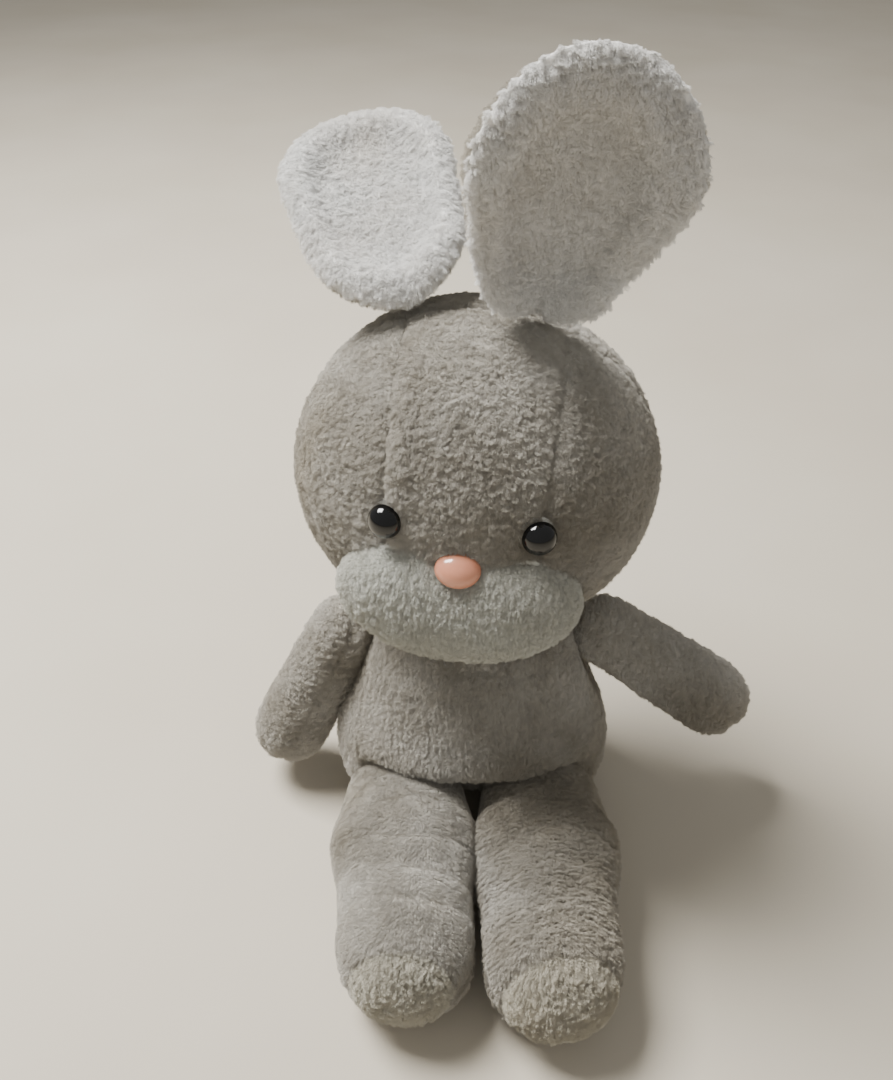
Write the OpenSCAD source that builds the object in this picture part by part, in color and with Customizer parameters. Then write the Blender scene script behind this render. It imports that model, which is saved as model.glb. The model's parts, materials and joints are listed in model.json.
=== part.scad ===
// Seated plush rabbit: separate cloth panels over stuffing, with plastic eyes and nose.
// The rabbit faces -Y and sits on z = 0. The origin lies on its flat seat, in its middle plane.
// "Left" and "right" are the rabbit's own: its left side is +X.

/* [Head] */
// Width of the head across the cheeks
head_w = 180; // [174:1:186]
// Depth of the head from face to nape
head_d = 160; // [154:1:166]
// Height of the head from chin to crown
head_h = 168; // [164:1:172]
// Height of the head's middle above the floor
head_z = 222; // [220:1:226]
// How far the head looks to its right
head_turn = 7; // [0:1:12]
// How far the head leans to its left
head_roll = 2.5; // [0:0.5:5]

/* [Muzzle] */
// Width of the muzzle
muzzle_w = 112; // [108:1:116]
// Depth of the muzzle
muzzle_d = 48; // [46:1:52]
// Height of the muzzle from chin to nose
muzzle_h = 62; // [58:1:64]

/* [Eyes and nose] */
// Diameter of each plastic eye
eye_d = 16; // [14:0.5:18]
// Distance between the eyes' middles
eye_gap = 68; // [62:1:72]
// Width of the plastic nose
nose_w = 21; // [18:0.5:23]
// Height of the plastic nose
nose_h = 17; // [14:0.5:18]

/* [Torso] */
// Height of the torso's form
torso_h = 142; // [140:1:144]
// Radius that the torso would have at its foot
torso_low_r = 86; // [84:0.5:88]
// Radius that the torso would have at its top
torso_top_r = 60; // [58:0.5:62]
// Depth of the torso as a share of its width
torso_flat = 0.82; // [0.8:0.01:0.84]
// How far the torso leans back
torso_lean = 10.5; // [9.5:0.5:11]

/* [Arms] */
// Length from the shoulder's middle to the paw's middle
arm_length = 81; // [78:1:84]
// Radius of the arm at the shoulder
shoulder_r = 19; // [18:0.5:19.5]
// Radius of the paw
paw_r = 22; // [20:0.5:22.5]
// How far the left arm hangs below level
left_arm_droop = 34; // [25:1:45]
// How far the right arm hangs below level
right_arm_droop = 65; // [50:1:65]
// How far both arms point forward
arm_forward = 10; // [5:1:14]

/* [Legs] */
// Length from the hip's middle to the foot's middle
leg_length = 104; // [98:1:110]
// Radius of the leg at the hip
hip_r = 27; // [26:0.5:27]
// Radius of the lower leg and foot
foot_r = 34.5; // [33:0.5:35]
// How far the right leg points inward
right_leg_in = 1.5; // [0:0.5:1.5]

/* [Ears] */
// Length of each ear from its bend to its tip
ear_length = 128; // [122:1:132]
// Greatest width of each ear
ear_w = 84; // [78:1:86]
// Radius that each ear is cupped to across its width
ear_cup_r = 60; // [56:1:70]
// Thickness of the padding in each ear
ear_pad = 6; // [5:0.5:6]
// How far the left ear leans forward
left_ear_lean = 25; // [15:1:35]
// How far the right ear leans back
right_ear_lean = 66; // [55:1:68]

/* [Tail] */
// Radius of the round tail
tail_r = 17; // [14:1:18]

/* [Cloth] */
// Thickness of the plush cloth with its backing
skin = 2; // [1.6:0.1:2.4]
// Clearance between pieces that move against each other
clear = 0.4; // [0.35:0.05:0.5]

/* [Hidden] */
$fn = 72;

far = 800;        // larger than the rabbit, for cutting bodies
slack = 0.2;      // looseness of the stuffing in its cover
head_slack = 0.5; // the same in the head, whose cover is turned in short straight steps

// Colours of the cloth and the plastic
grey_plush = [0.62, 0.59, 0.55];
white_plush = [0.93, 0.92, 0.90];
cream_plush = [0.86, 0.84, 0.79];
stuffing_white = [0.97, 0.97, 0.96];

// Joint middles
neck = [0, -8, 140];
neck_r = 46;
head_c = [neck.x, neck.y, head_z];
shoulder = [73, -14, 116];
hip = [37.5, -64, 32];
hip_stagger = 2;              // the left hip sits this much further forward
shoulder_core_r = 13;         // stuffing ball that each arm turns on

// Head seams, from the head's middle
brow_x = 34;
brow_spread = 1.4;            // angle by which each forehead seam leans outward
brow_z = -20;
crown_seam_y = 4;
crown_flat = 4;               // the filling is pressed flat this far below the crown
head_steps = 22;

// Muzzle and the plastic pieces, from the head's middle
muzzle_c = [0, -66, -28];
nose_at = [0, -80.6, -4];
nose_tip_up = 48;             // the nose faces this far up
eye_at = [eye_gap / 2, -73.2, 13];
eye_out = 20;                 // each eye faces this far outward
eye_up = 9;
shank_r = 2.5;
washer_r = 8.5;
washer_t = 2;
washer_gap = 1;               // room behind the curved cloth for a washer's flat edge

// Ears
left_ear_at = [24, -8, 308];
right_ear_at = [-33, -8, 307];
left_ear_splay = 9;
right_ear_splay = 12;
right_ear_yaw = 10;           // the right ear also turns outward
ear_root_r = 5;
ear_root_w = 36;
ear_base_r = 31;

tail_share = 0.24;            // height share of the torso that the tail is sewn on at

// Legs
sole_flat = 0.5;              // the leg's middle line lies this much below its radius
toe_seam = 10;                // toe seam beyond the foot's middle
toe_seam_tilt = 8;
hip_raise = 10;               // the leg lifts this far
leg_seam_z = 34;              // height of the seam between a leg's two panels

// ---- general shapes ----

// Tapered limb with ball ends, along +Z from the origin; d grows it
module limb(r1, r2, length, d = 0) {
    sphere(r = r1 + d);
    cylinder(h = length, r1 = r1 + d, r2 = r2 + d);
    translate([0, 0, length]) sphere(r = r2 + d);
}

// Half of all space on the +X (side = 1) or -X (side = -1) side of x = 0
module half_x(side) {
    translate([side * far / 2, 0, 0]) cube(far, center = true);
}

module above(z) {
    translate([0, 0, z + far / 2]) cube(far, center = true);
}

// ---- head ----

// Puts head shapes, drawn about the head's middle, in place
module in_head() {
    translate(head_c) rotate([0, head_roll, -head_turn]) children();
}

module head_form(d = 0) {
    half_w = head_w / 2 + d;
    half_h = head_h / 2 + d;
    scale([1, (head_d / 2 + d) / half_w, 1]) rotate_extrude()
        polygon([for (i = [0 : head_steps])
            [half_w * sin(180 * i / head_steps), -half_h * cos(180 * i / head_steps)]]);
}

// The same form as one smooth surface, for the filling and for what lies on the head
module head_face(d = 0) {
    scale([head_w / 2 + d, head_d / 2 + d, head_h / 2 + d]) sphere(r = 1);
}

module muzzle_form(d = 0) {
    translate(muzzle_c)
        scale([muzzle_w / 2 + d, muzzle_d / 2 + d, muzzle_h / 2 + d]) sphere(r = 1);
}

module at_eye(side) {
    translate([side * eye_at.x, eye_at.y, eye_at.z])
        rotate([90 - eye_up, 0, side * eye_out]) children();
}

module at_nose() {
    translate(nose_at) rotate([90 - nose_tip_up, 0, 0]) children();
}

// Washer with its bore, just under the cloth
module washer() {
    translate([0, 0, -skin - slack - washer_t - washer_gap])
        difference() {
            cylinder(r = washer_r, h = washer_t);
            translate([0, 0, -1]) cylinder(r = shank_r, h = washer_t + 2);
        }
}

// Room in the stuffing for a washer and its shank
module washer_pocket() {
    translate([0, 0, -12]) cylinder(r = washer_r + slack, h = 14);
}

module shank_hole() {
    translate([0, 0, -15]) cylinder(r = shank_r + slack, h = 20);
}

// Round opening for the nose, its shank and its washer
module nose_room() {
    at_nose() translate([0, 0, -14]) cylinder(r = nose_w / 2 + slack, h = 24);
}

module neck_socket() {
    translate(neck) sphere(r = neck_r + clear);
}

// Groove that an ear's rolled root turns in
module ear_groove() {
    rotate([0, 90, 0]) cylinder(r = ear_root_r + clear, h = ear_root_w + 3, center = true);
}

module head_cuts() {
    neck_socket();
    at_left_ear() ear_groove();
    at_right_ear() ear_groove();
}

module forehead_region() {
    top_x = brow_x + (far / 2 - brow_z) * tan(brow_spread);
    translate([0, crown_seam_y, 0]) rotate([90, 0, 0]) linear_extrude(far)
        polygon([[-brow_x, brow_z], [brow_x, brow_z], [top_x, far / 2], [-top_x, far / 2]]);
}

module front_region() {
    translate([0, crown_seam_y - far / 2, 0]) cube(far, center = true);
}

module back_region() {
    translate([0, crown_seam_y + far / 2, 0]) cube(far, center = true);
}

// Cloth of the head, cut to the region given as children
module head_panel() {
    color(grey_plush) difference() {
        in_head() difference() {
            intersection() {
                difference() {
                    head_form(0);
                    head_form(-skin);
                }
                children();
            }
            for (side = [-1, 1]) at_eye(side) shank_hole();
            nose_room();
        }
        head_cuts();
    }
}

module head_forehead_panel() {
    head_panel() forehead_region();
}

module cheek_panel(side) {
    head_panel() difference() {
        intersection() {
            front_region();
            half_x(side);
        }
        forehead_region();
    }
}

module head_back_panel(side) {
    head_panel() intersection() {
        back_region();
        half_x(side);
    }
}

module head_stuffing() {
    color(stuffing_white) difference() {
        in_head() difference() {
            head_face(-skin - head_slack);
            for (side = [-1, 1]) at_eye(side) washer_pocket();
            nose_room();
        }
        neck_socket();
        above(head_z + head_h / 2 - crown_flat);
    }
}

module muzzle_cover() {
    color(white_plush) in_head() difference() {
        muzzle_form(0);
        head_face(slack);
        muzzle_form(-skin);
        nose_room();
    }
}

module muzzle_stuffing() {
    color(stuffing_white) in_head() difference() {
        muzzle_form(-skin - slack);
        head_face(slack);
        at_nose() washer_pocket();
    }
}

// Plastic dome with a shank behind it
module snap_dome(width, height, depth) {
    intersection() {
        scale([width / 2, height / 2, depth]) sphere(r = 1);
        above(0);
    }
    translate([0, 0, -11]) cylinder(r = shank_r - 0.1, h = 11.5);
}

module eye(side) {
    color([0.03, 0.03, 0.035]) in_head() at_eye(side) snap_dome(eye_d, eye_d, 7);
}

module eye_washer(side) {
    color(stuffing_white) in_head() at_eye(side) washer();
}

module nose() {
    color([0.93, 0.62, 0.52]) in_head() at_nose() snap_dome(nose_w, nose_h, 7);
}

module nose_washer() {
    color(stuffing_white) in_head() at_nose() washer();
}

// ---- ears, drawn upright from the bend, hollow side to -Y ----

// Outline of an ear: a wide round top over a narrower base, joined by tangents
module ear_outline(inset = 0) {
    top_r = ear_w / 2 - inset;
    base_r = ear_base_r - inset;
    top_z = ear_length - ear_w / 2;
    tangent = asin((top_r - base_r) / (top_z - ear_base_r));
    polygon([
        for (a = [-tangent : (180 + 2 * tangent) / 16 : 180 + tangent + 1])
            [top_r * cos(a), top_z + top_r * sin(a)],
        for (a = [180 + tangent : (180 - 2 * tangent) / 12 : 360 - tangent + 1])
            [base_r * cos(a), ear_base_r + base_r * sin(a)]]);
}

// Layer of a cupped ear between two distances from the cup's middle line
module ear_layer(r_in, r_out, inset = 0) {
    intersection() {
        translate([0, ear_w / 2, 0]) rotate([90, 0, 0]) linear_extrude(ear_w) ear_outline(inset);
        translate([0, -ear_cup_r, -1]) difference() {
            cylinder(r = r_out, h = ear_length + 2);
            translate([0, 0, -1]) cylinder(r = r_in, h = ear_length + 4);
        }
    }
}

module ear_cloth(r_in, r_out) {
    intersection() {
        ear_layer(r_in, r_out);
        above(ear_root_r + 0.6);
    }
}

module at_left_ear() {
    translate(left_ear_at) rotate([0, left_ear_splay, 0]) rotate([left_ear_lean, 0, 0]) children();
}

module at_right_ear() {
    translate(right_ear_at) rotate([0, -right_ear_splay, right_ear_yaw])
        rotate([-right_ear_lean, 0, 0]) children();
}

module ear_lining() {
    color(white_plush) ear_cloth(ear_cup_r - ear_pad / 2 - skin, ear_cup_r - ear_pad / 2);
}

module ear_back() {
    color(grey_plush) ear_cloth(ear_cup_r + ear_pad / 2, ear_cup_r + ear_pad / 2 + skin);
}

module ear_padding() {
    color(stuffing_white) {
        intersection() {
            ear_layer(ear_cup_r - ear_pad / 2 + slack, ear_cup_r + ear_pad / 2 - slack, skin);
            above(2);
        }
        rotate([0, 90, 0]) cylinder(r = ear_root_r, h = ear_root_w, center = true);
    }
}

// ---- torso, drawn upright over the origin and then leant back ----

// Radius of the torso at height share t
function torso_r(t) = (torso_low_r + (torso_top_r - torso_low_r) * t)
    * pow(1 - pow(abs(2 * t - 1), 3.6), 1 / 3.6);

torso_steps = 24;

// The steps crowd towards both ends, where the form turns fastest
function step_share(i) = (1 - cos(180 * i / torso_steps)) / 2;

module in_torso() {
    translate([0, -34, 0]) rotate([-torso_lean, 0, 0]) children();
}

module torso_form(d = 0) {
    in_torso() scale([1, torso_flat, 1]) rotate_extrude() polygon([
        [0, -d], for (i = [1 : torso_steps - 1])
            [torso_r(step_share(i)) + d, torso_h * step_share(i) - d * cos(180 * i / torso_steps)],
        [0, torso_h + d]]);
}

// Where the leg on one side swings, seen from the side and drawn as wide as the torso
module leg_sweep() {
    taper = asin((foot_r - hip_r) / leg_length) + 4;
    up = hip_raise + taper;
    r = hip_r + 2 * clear;
    reach = 90;
    translate([0, hip.y + hip_stagger, hip.z]) rotate([90, 0, 90]) linear_extrude(far, center = true)
        polygon([[0, 0], [r * sin(up), r * cos(up)],
                 [r * sin(up) - reach * cos(up), r * cos(up) + reach * sin(up)],
                 [-reach, -reach], [r * cos(taper) + reach * tan(taper), -reach],
                 [r * cos(taper), -r * sin(taper)]]);
}

// Cone that each hanging arm sweeps as it swings forward and back
module arm_sweep(side) {
    reach = 110;
    slope = 90 - right_arm_droop - asin((paw_r - shoulder_r) / arm_length);
    inner = (shoulder_r + 2 * clear) / cos(slope);
    translate([side * shoulder.x, shoulder.y, shoulder.z]) rotate([0, side * 90, 0])
        rotate_extrude() polygon([[0, -inner], [reach, reach * tan(slope) - inner], [reach, far / 2],
                                  [0, far / 2]]);
}

module torso_cuts() {
    neck_socket();
    leg_sweep();
    for (side = [-1, 1]) {
        arm_sweep(side);
        translate([side * hip.x, hip.y - side * hip_stagger, hip.z]) sphere(r = hip_r + clear);
    }
}

module torso_panel() {
    color(grey_plush) difference() {
        intersection() {
            difference() {
                torso_form(0);
                torso_form(-skin);
            }
            above(skin);
            children();
        }
        torso_cuts();
    }
}

// The side seams run up the middle of the torso's depth
module torso_half(side) {
    in_torso() translate([0, side * far / 2, 0]) cube(far, center = true);
}

module torso_front_panel() {
    torso_panel() torso_half(-1);
}

module torso_back_panel(side) {
    torso_panel() intersection() {
        torso_half(1);
        half_x(side);
    }
}

module seat_panel() {
    color(grey_plush) difference() {
        intersection() {
            torso_form(0);
            translate([0, 0, skin / 2]) cube([far, far, skin], center = true);
        }
        torso_cuts();
    }
}

module torso_stuffing() {
    color(stuffing_white) difference() {
        intersection() {
            torso_form(-skin - slack);
            above(skin + slack);
        }
        torso_cuts();
    }
}

// Hand-sewn stitches that close the back seam
module closing_stitches() {
    color([0.55, 0.52, 0.48]) for (i = [0 : 6]) {
        share = 0.42 + i * 0.035;
        in_torso() translate([0, torso_flat * torso_r(share) + 0.7, torso_h * share])
            rotate([0, 90, 0]) cylinder(r = 0.5, h = 6, center = true);
    }
}

// Tail shape drawn about its middle, cut flat where it is sewn to the back
module in_tail() {
    in_torso() translate([0, torso_flat * torso_r(tail_share) + slack, torso_h * tail_share])
        intersection() {
            translate([0, 0.6 * tail_r, 0]) rotate([90, 0, 0]) children();
            translate([0, far / 2, 0]) cube(far, center = true);
        }
}

module tail_cover() {
    color(white_plush) in_tail() difference() {
        sphere(r = tail_r);
        sphere(r = tail_r - skin);
    }
}

module tail_stuffing() {
    color(stuffing_white) in_tail() sphere(r = tail_r - skin - slack);
}

module neck_stuffing() {
    color(stuffing_white) translate(neck) sphere(r = neck_r);
}

// ---- arms ----

module at_arm(side, droop) {
    translate([side * shoulder.x, shoulder.y, shoulder.z])
        rotate([0, side * (90 + droop), -side * arm_forward * cos(droop)]) children();
}

// The seam plane runs down the arm's front and rear
module arm_half(toward) {
    translate([toward * far / 2, 0, 0]) cube(far, center = true);
}

module arm_panel(side, droop, outer) {
    color(grey_plush) at_arm(side, droop) difference() {
        limb(shoulder_r, paw_r, arm_length);
        limb(shoulder_r, paw_r, arm_length, -skin);
        arm_half(side * (outer ? 1 : -1));
    }
}

module arm_stuffing(side, droop) {
    color(stuffing_white) at_arm(side, droop) difference() {
        limb(shoulder_r, paw_r, arm_length, -skin - slack);
        sphere(r = shoulder_core_r + clear);
    }
}

module shoulder_stuffing(side) {
    color(stuffing_white) translate([side * shoulder.x, shoulder.y, shoulder.z])
        sphere(r = shoulder_core_r);
}

// ---- legs ----

module at_leg(side) {
    translate([side * hip.x, hip.y - side * hip_stagger, hip.z])
        rotate([90, 0, side < 0 ? right_leg_in : 0]) children();
}

// Leg along +Z from the hip's middle, before its underside is pressed flat. It swells
// smoothly from the hip's ball to the full round of the foot.
module leg_form(d = 0) {
    rise = foot_r - sole_flat - hip.z;
    swell = 0.5 * leg_length;
    rotate([-atan(rise / leg_length), 0, 0]) rotate_extrude() polygon([
        for (a = [180 : -15 : 90]) (hip_r + d) * [sin(a), cos(a)],
        for (i = [1 : 7]) [hip_r + d + (foot_r - hip_r) * (1 - cos(180 * i / 8)) / 2, swell * i / 8],
        for (a = [90 : -10 : 0]) [(foot_r + d) * sin(a), leg_length + (foot_r + d) * cos(a)],
        ]);
}

module leg_cloth(side) {
    color(grey_plush) intersection() {
        at_leg(side) difference() {
            leg_form(0);
            leg_form(-skin);
        }
        above(0);
        children();
    }
}

// Space beyond the seam round the foot's end
module toe_region(side) {
    at_leg(side) translate([0, 0, leg_length + toe_seam]) rotate([-toe_seam_tilt, 0, 0])
        translate([0, 0, far / 2]) cube(far, center = true);
}

module leg_upper_panel(side) {
    leg_cloth(side) difference() {
        above(leg_seam_z);
        toe_region(side);
    }
}

module leg_under_panel(side) {
    leg_cloth(side) difference() {
        translate([0, 0, leg_seam_z - far / 2]) cube(far, center = true);
        toe_region(side);
    }
}

module toe_cap(side) {
    color(cream_plush) intersection() {
        at_leg(side) difference() {
            leg_form(0);
            leg_form(-skin);
        }
        above(0);
        toe_region(side);
    }
}

module leg_stuffing(side) {
    color(stuffing_white) intersection() {
        at_leg(side) leg_form(-skin - slack);
        above(skin / 2);
    }
}

head_forehead_panel();
cheek_panel(1);  // head_left_cheek_panel
cheek_panel(-1);  // head_right_cheek_panel
head_back_panel(1);  // head_left_back_panel
head_back_panel(-1);  // head_right_back_panel
head_stuffing();
muzzle_cover();
muzzle_stuffing();
nose();
nose_washer();
eye(1);  // left_eye
eye(-1);  // right_eye
eye_washer(1);  // left_eye_washer
eye_washer(-1);  // right_eye_washer
at_left_ear() ear_lining();  // left_ear_lining
at_left_ear() ear_back();  // left_ear_back
at_left_ear() ear_padding();  // left_ear_padding
at_right_ear() ear_lining();  // right_ear_lining
at_right_ear() ear_back();  // right_ear_back
at_right_ear() ear_padding();  // right_ear_padding
neck_stuffing();
torso_front_panel();
torso_back_panel(1);  // torso_left_back_panel
torso_back_panel(-1);  // torso_right_back_panel
seat_panel();
torso_stuffing();
closing_stitches();
tail_cover();
tail_stuffing();
shoulder_stuffing(1);  // left_shoulder_stuffing
arm_panel(1, left_arm_droop, true);  // left_arm_outer_panel
arm_panel(1, left_arm_droop, false);  // left_arm_inner_panel
arm_stuffing(1, left_arm_droop);  // left_arm_stuffing
shoulder_stuffing(-1);  // right_shoulder_stuffing
arm_panel(-1, right_arm_droop, true);  // right_arm_outer_panel
arm_panel(-1, right_arm_droop, false);  // right_arm_inner_panel
arm_stuffing(-1, right_arm_droop);  // right_arm_stuffing
leg_upper_panel(1);  // left_leg_upper_panel
leg_under_panel(1);  // left_leg_under_panel
toe_cap(1);  // left_toe_cap
leg_stuffing(1);  // left_leg_stuffing
leg_upper_panel(-1);  // right_leg_upper_panel
leg_under_panel(-1);  // right_leg_under_panel
toe_cap(-1);  // right_toe_cap
leg_stuffing(-1);  // right_leg_stuffing
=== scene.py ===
import json
import math

import bmesh
import bpy
import numpy as np
from mathutils import Euler, Matrix, Vector, kdtree, noise

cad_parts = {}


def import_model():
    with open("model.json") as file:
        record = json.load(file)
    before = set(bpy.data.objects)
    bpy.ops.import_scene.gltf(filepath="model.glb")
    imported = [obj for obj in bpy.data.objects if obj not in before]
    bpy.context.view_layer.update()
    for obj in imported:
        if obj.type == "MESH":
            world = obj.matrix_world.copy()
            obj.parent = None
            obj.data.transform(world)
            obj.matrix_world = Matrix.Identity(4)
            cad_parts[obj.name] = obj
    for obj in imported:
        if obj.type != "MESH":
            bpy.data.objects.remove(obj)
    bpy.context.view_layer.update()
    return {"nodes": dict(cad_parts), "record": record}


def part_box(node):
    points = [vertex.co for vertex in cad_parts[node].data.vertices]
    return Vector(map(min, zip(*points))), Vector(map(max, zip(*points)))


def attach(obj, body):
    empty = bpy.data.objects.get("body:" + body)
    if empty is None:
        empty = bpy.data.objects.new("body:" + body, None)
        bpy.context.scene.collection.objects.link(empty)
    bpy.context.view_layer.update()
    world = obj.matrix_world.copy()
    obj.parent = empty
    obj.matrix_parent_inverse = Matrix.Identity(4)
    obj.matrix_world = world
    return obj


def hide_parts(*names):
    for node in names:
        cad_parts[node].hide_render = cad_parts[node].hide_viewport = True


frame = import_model()

MM = 0.001
SIDES = {"left": 1, "right": -1}

# ---- sizes, in metres ----

CLOTH = 1.6 * MM            # thickness of a cover panel
SEAM_DEPTH = 2.4 * MM       # how far a seam pulls the cloth in
SEAM_WIDTH = 2.6 * MM
SEAM_PILE = 0.5             # how dense the pile is beside a seam
TUFT_SIZE = 3.0 * MM        # size of one clump of pile
TUFT_HEIGHT = 0.26 * MM
DENT_SIZE = 9 * TUFT_SIZE   # size of one slow dent in the pile
DENT_DEPTH = 1.6 * TUFT_HEIGHT
PILE_LENGTH = 4.6 * MM
PILE_DEPTH = 2.2 * MM       # how far the backing lies under the tips of the pile
FILL_DEPTH = CLOTH + 0.4 * MM
SWELL = 1.6 * MM            # how far the filling may blow the cloth out
ARM_SWELL = 1.4 * MM
SLACK = 1.2 * MM            # the filling of a blown-up form lies this much deeper
HEAD_SLACK = 1.6 * MM
FAR = 10.0                  # outside everything
FLOOR_GAP = 0.3 * MM        # the backing rests this far above the floor, on its pile
TINY = 1e-9                 # keeps a length from being divided by zero
CUT_SNAP = 0.25 * MM        # a vertex this near a seam's cut lies on it
SEED_STEP = (7.31, 3.17, 5.77)         # how far apart the noise of two seeds lies

HEAD_TURN = math.radians(7)
HEAD_ROLL = math.radians(2.5)
BROW_X = 34 * MM            # half the width between the forehead seams
BROW_SPREAD = math.radians(1.4)
BROW_Z = -20 * MM           # height of the forehead panel's lower edge
CROWN_SEAM_Y = 4 * MM

TORSO_LEAN = math.radians(10.5)
TORSO_BACK = 34 * MM

ARM_DROOP = {"left": math.radians(34), "right": math.radians(65)}
ARM_FORWARD = math.radians(10)

LEG_LENGTH = 104 * MM
LEG_SEAM_Z = 34 * MM
TOE_SEAM = LEG_LENGTH + 10 * MM
TOE_TILT = math.radians(8)
LEG_YAW = {"left": 0.0, "right": math.radians(1.5)}

EAR_LENGTH = {"left": 132 * MM, "right": 128 * MM}
EAR_W = {"left": 88 * MM, "right": 85 * MM}
EAR_BASE_R = {"left": 33 * MM, "right": 37 * MM}
EAR_PINCH = {"left": 0.30, "right": 0.12}      # how much narrower the folded base is
EAR_FOLD = {"left": 0.016, "right": 0.007}     # how far the base's sides fold forward
EAR_LEAN = {"left": math.radians(25), "right": math.radians(-66)}
EAR_SPLAY = {"left": math.radians(9), "right": math.radians(-12)}
EAR_YAW = {"left": 0.0, "right": math.radians(10)}
EAR_CUP = {"left": 60 * MM, "right": 150 * MM}
EAR_BASIN_SHADE = {"left": 1.0, "right": 0.3}         # how strongly painted shade darkens the ear's hollow

FINE = 2          # subdivisions of each soft form


def joint_at(name):
    """The middle of a joint, from the frame."""
    for joint in frame["record"]["behaviour"]["joints"]:
        if joint["name"] == name:
            return Vector(joint["pos_m"])
    raise ValueError(name)


def middle(*nodes):
    """The middle of the box that holds these CAD nodes."""
    low = Vector(np.min([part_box(n)[0] for n in nodes], axis=0))
    high = Vector(np.max([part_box(n)[1] for n in nodes], axis=0))
    return (low + high) / 2


HEAD_MIDDLE = joint_at("head_nod") + Vector((0, 0, 82 * MM))
HEAD_HALF = Vector((90, 80, 84)) * MM
NECK_R = 46 * MM


def turned(x, y, z):
    """A turn about the three axes, as a placing."""
    return Euler((x, y, z)).to_matrix().to_4x4()


HEAD_FRAME = Matrix.Translation(HEAD_MIDDLE) @ turned(0, HEAD_ROLL, -HEAD_TURN)
TORSO_FRAME = Matrix.Translation((0, -TORSO_BACK, 0)) @ Matrix.Rotation(-TORSO_LEAN, 4, "X")


def arm_frame(side):
    droop = ARM_DROOP[side]
    sign = SIDES[side]
    turn = turned(0, sign * (math.pi / 2 + droop), -sign * ARM_FORWARD * math.cos(droop))
    return Matrix.Translation(joint_at(side + "_arm_raise")) @ turn


def leg_frame(side):
    return Matrix.Translation(joint_at(side + "_hip")) @ turned(math.pi / 2, 0, LEG_YAW[side])


def ear_frame(side):
    splay = turned(0, EAR_SPLAY[side], EAR_YAW[side])
    lean = Matrix.Rotation(EAR_LEAN[side], 4, "X")
    return Matrix.Translation(joint_at(side + "_ear_bend")) @ splay @ lean


# ---- arrays and meshes ----

def local(points, placing):
    """Points seen from a placed frame."""
    back = np.array(placing.inverted())
    return points @ back[:3, :3].T + back[:3, 3]


def world(points, placing):
    there = np.array(placing)
    return points @ there[:3, :3].T + there[:3, 3]


def read(parts, what, width, kind=float):
    """One value of every vertex, edge or face, as rows."""
    flat = np.empty(len(parts) * width, kind)
    parts.foreach_get(what, flat)
    return flat.reshape(-1, width)


def points_of(mesh):
    return read(mesh.vertices, "co", 3)


def normals_of(mesh):
    return read(mesh.vertices, "normal", 3)


def edges_of(mesh):
    return read(mesh.edges, "vertices", 2, int)


def hill(away, width):
    """1 where away is 0, falling smoothly to 0 on both sides."""
    return np.exp(-(away / width) ** 2)


def off_floor(points, start, rise):
    """0 where the toy rests on the floor, rising to 1 above it."""
    return np.clip((points[:, 2] - start) / rise, 0, 1)


def set_points(mesh, points):
    mesh.vertices.foreach_set("co", np.ascontiguousarray(points).ravel())
    mesh.update()


def smooth_shading(mesh):
    mesh.polygons.foreach_set("use_smooth", [True] * len(mesh.polygons))


def new_object(name, mesh):
    obj = bpy.data.objects.new(name, mesh)
    bpy.context.scene.collection.objects.link(obj)
    return obj


def applied(obj):
    """The object's mesh with its modifiers, which are then taken off."""
    graph = bpy.context.evaluated_depsgraph_get()
    graph.update()
    mesh = bpy.data.meshes.new_from_object(obj.evaluated_get(graph))
    obj.modifiers.clear()
    old = obj.data
    obj.data = mesh
    bpy.data.meshes.remove(old)


def keep_largest_shell(mesh):
    """Deletes every closed shell but the one with the most vertices."""
    form = bmesh.new()
    form.from_mesh(mesh)
    seen = set()
    shells = []
    for start in form.verts:
        if start in seen:
            continue
        seen.add(start)
        shell = [start]
        for vertex in shell:
            for edge in vertex.link_edges:
                other = edge.other_vert(vertex)
                if other not in seen:
                    seen.add(other)
                    shell.append(other)
        shells.append(shell)
    shells.sort(key=len)
    for shell in shells[:-1]:
        bmesh.ops.delete(form, geom=shell, context="VERTS")
    form.to_mesh(mesh)
    form.free()


def relaxed(mesh, rounds, share=0.5):
    """Moves each vertex towards the middle of its neighbours."""
    a, b = edges_of(mesh).T
    points = points_of(mesh)
    count = np.bincount(a, minlength=len(points)) + np.bincount(b, minlength=len(points))
    for _ in range(rounds):
        total = np.empty_like(points)
        for k in range(3):
            total[:, k] = np.bincount(a, points[b, k], len(points))
            total[:, k] += np.bincount(b, points[a, k], len(points))
        points += share * (total / count[:, None] - points)
    set_points(mesh, points)


def soft_form(name, nodes, voxel, rounds=6):
    """One closed form round a set of CAD nodes."""
    form = bmesh.new()
    for node in nodes:
        form.from_mesh(frame["nodes"][node].data)
    mesh = bpy.data.meshes.new(name)
    form.to_mesh(mesh)
    form.free()
    obj = new_object(name, mesh)
    remesh = obj.modifiers.new("even", "REMESH")
    remesh.mode = "VOXEL"
    remesh.voxel_size = voxel
    applied(obj)
    keep_largest_shell(obj.data)
    relaxed(obj.data, rounds)
    return obj


def subdivided(obj, levels):
    divide = obj.modifiers.new("fine", "SUBSURF")
    divide.levels = levels
    divide.render_levels = levels
    applied(obj)


def region_edges(points, edges, region):
    """Which vertices lie on an edge that crosses from one panel to another."""
    label = region(points)
    crossing = edges[label[edges[:, 0]] != label[edges[:, 1]]]
    mark = np.zeros(len(points), bool)
    mark[crossing.ravel()] = True
    return mark


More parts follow.
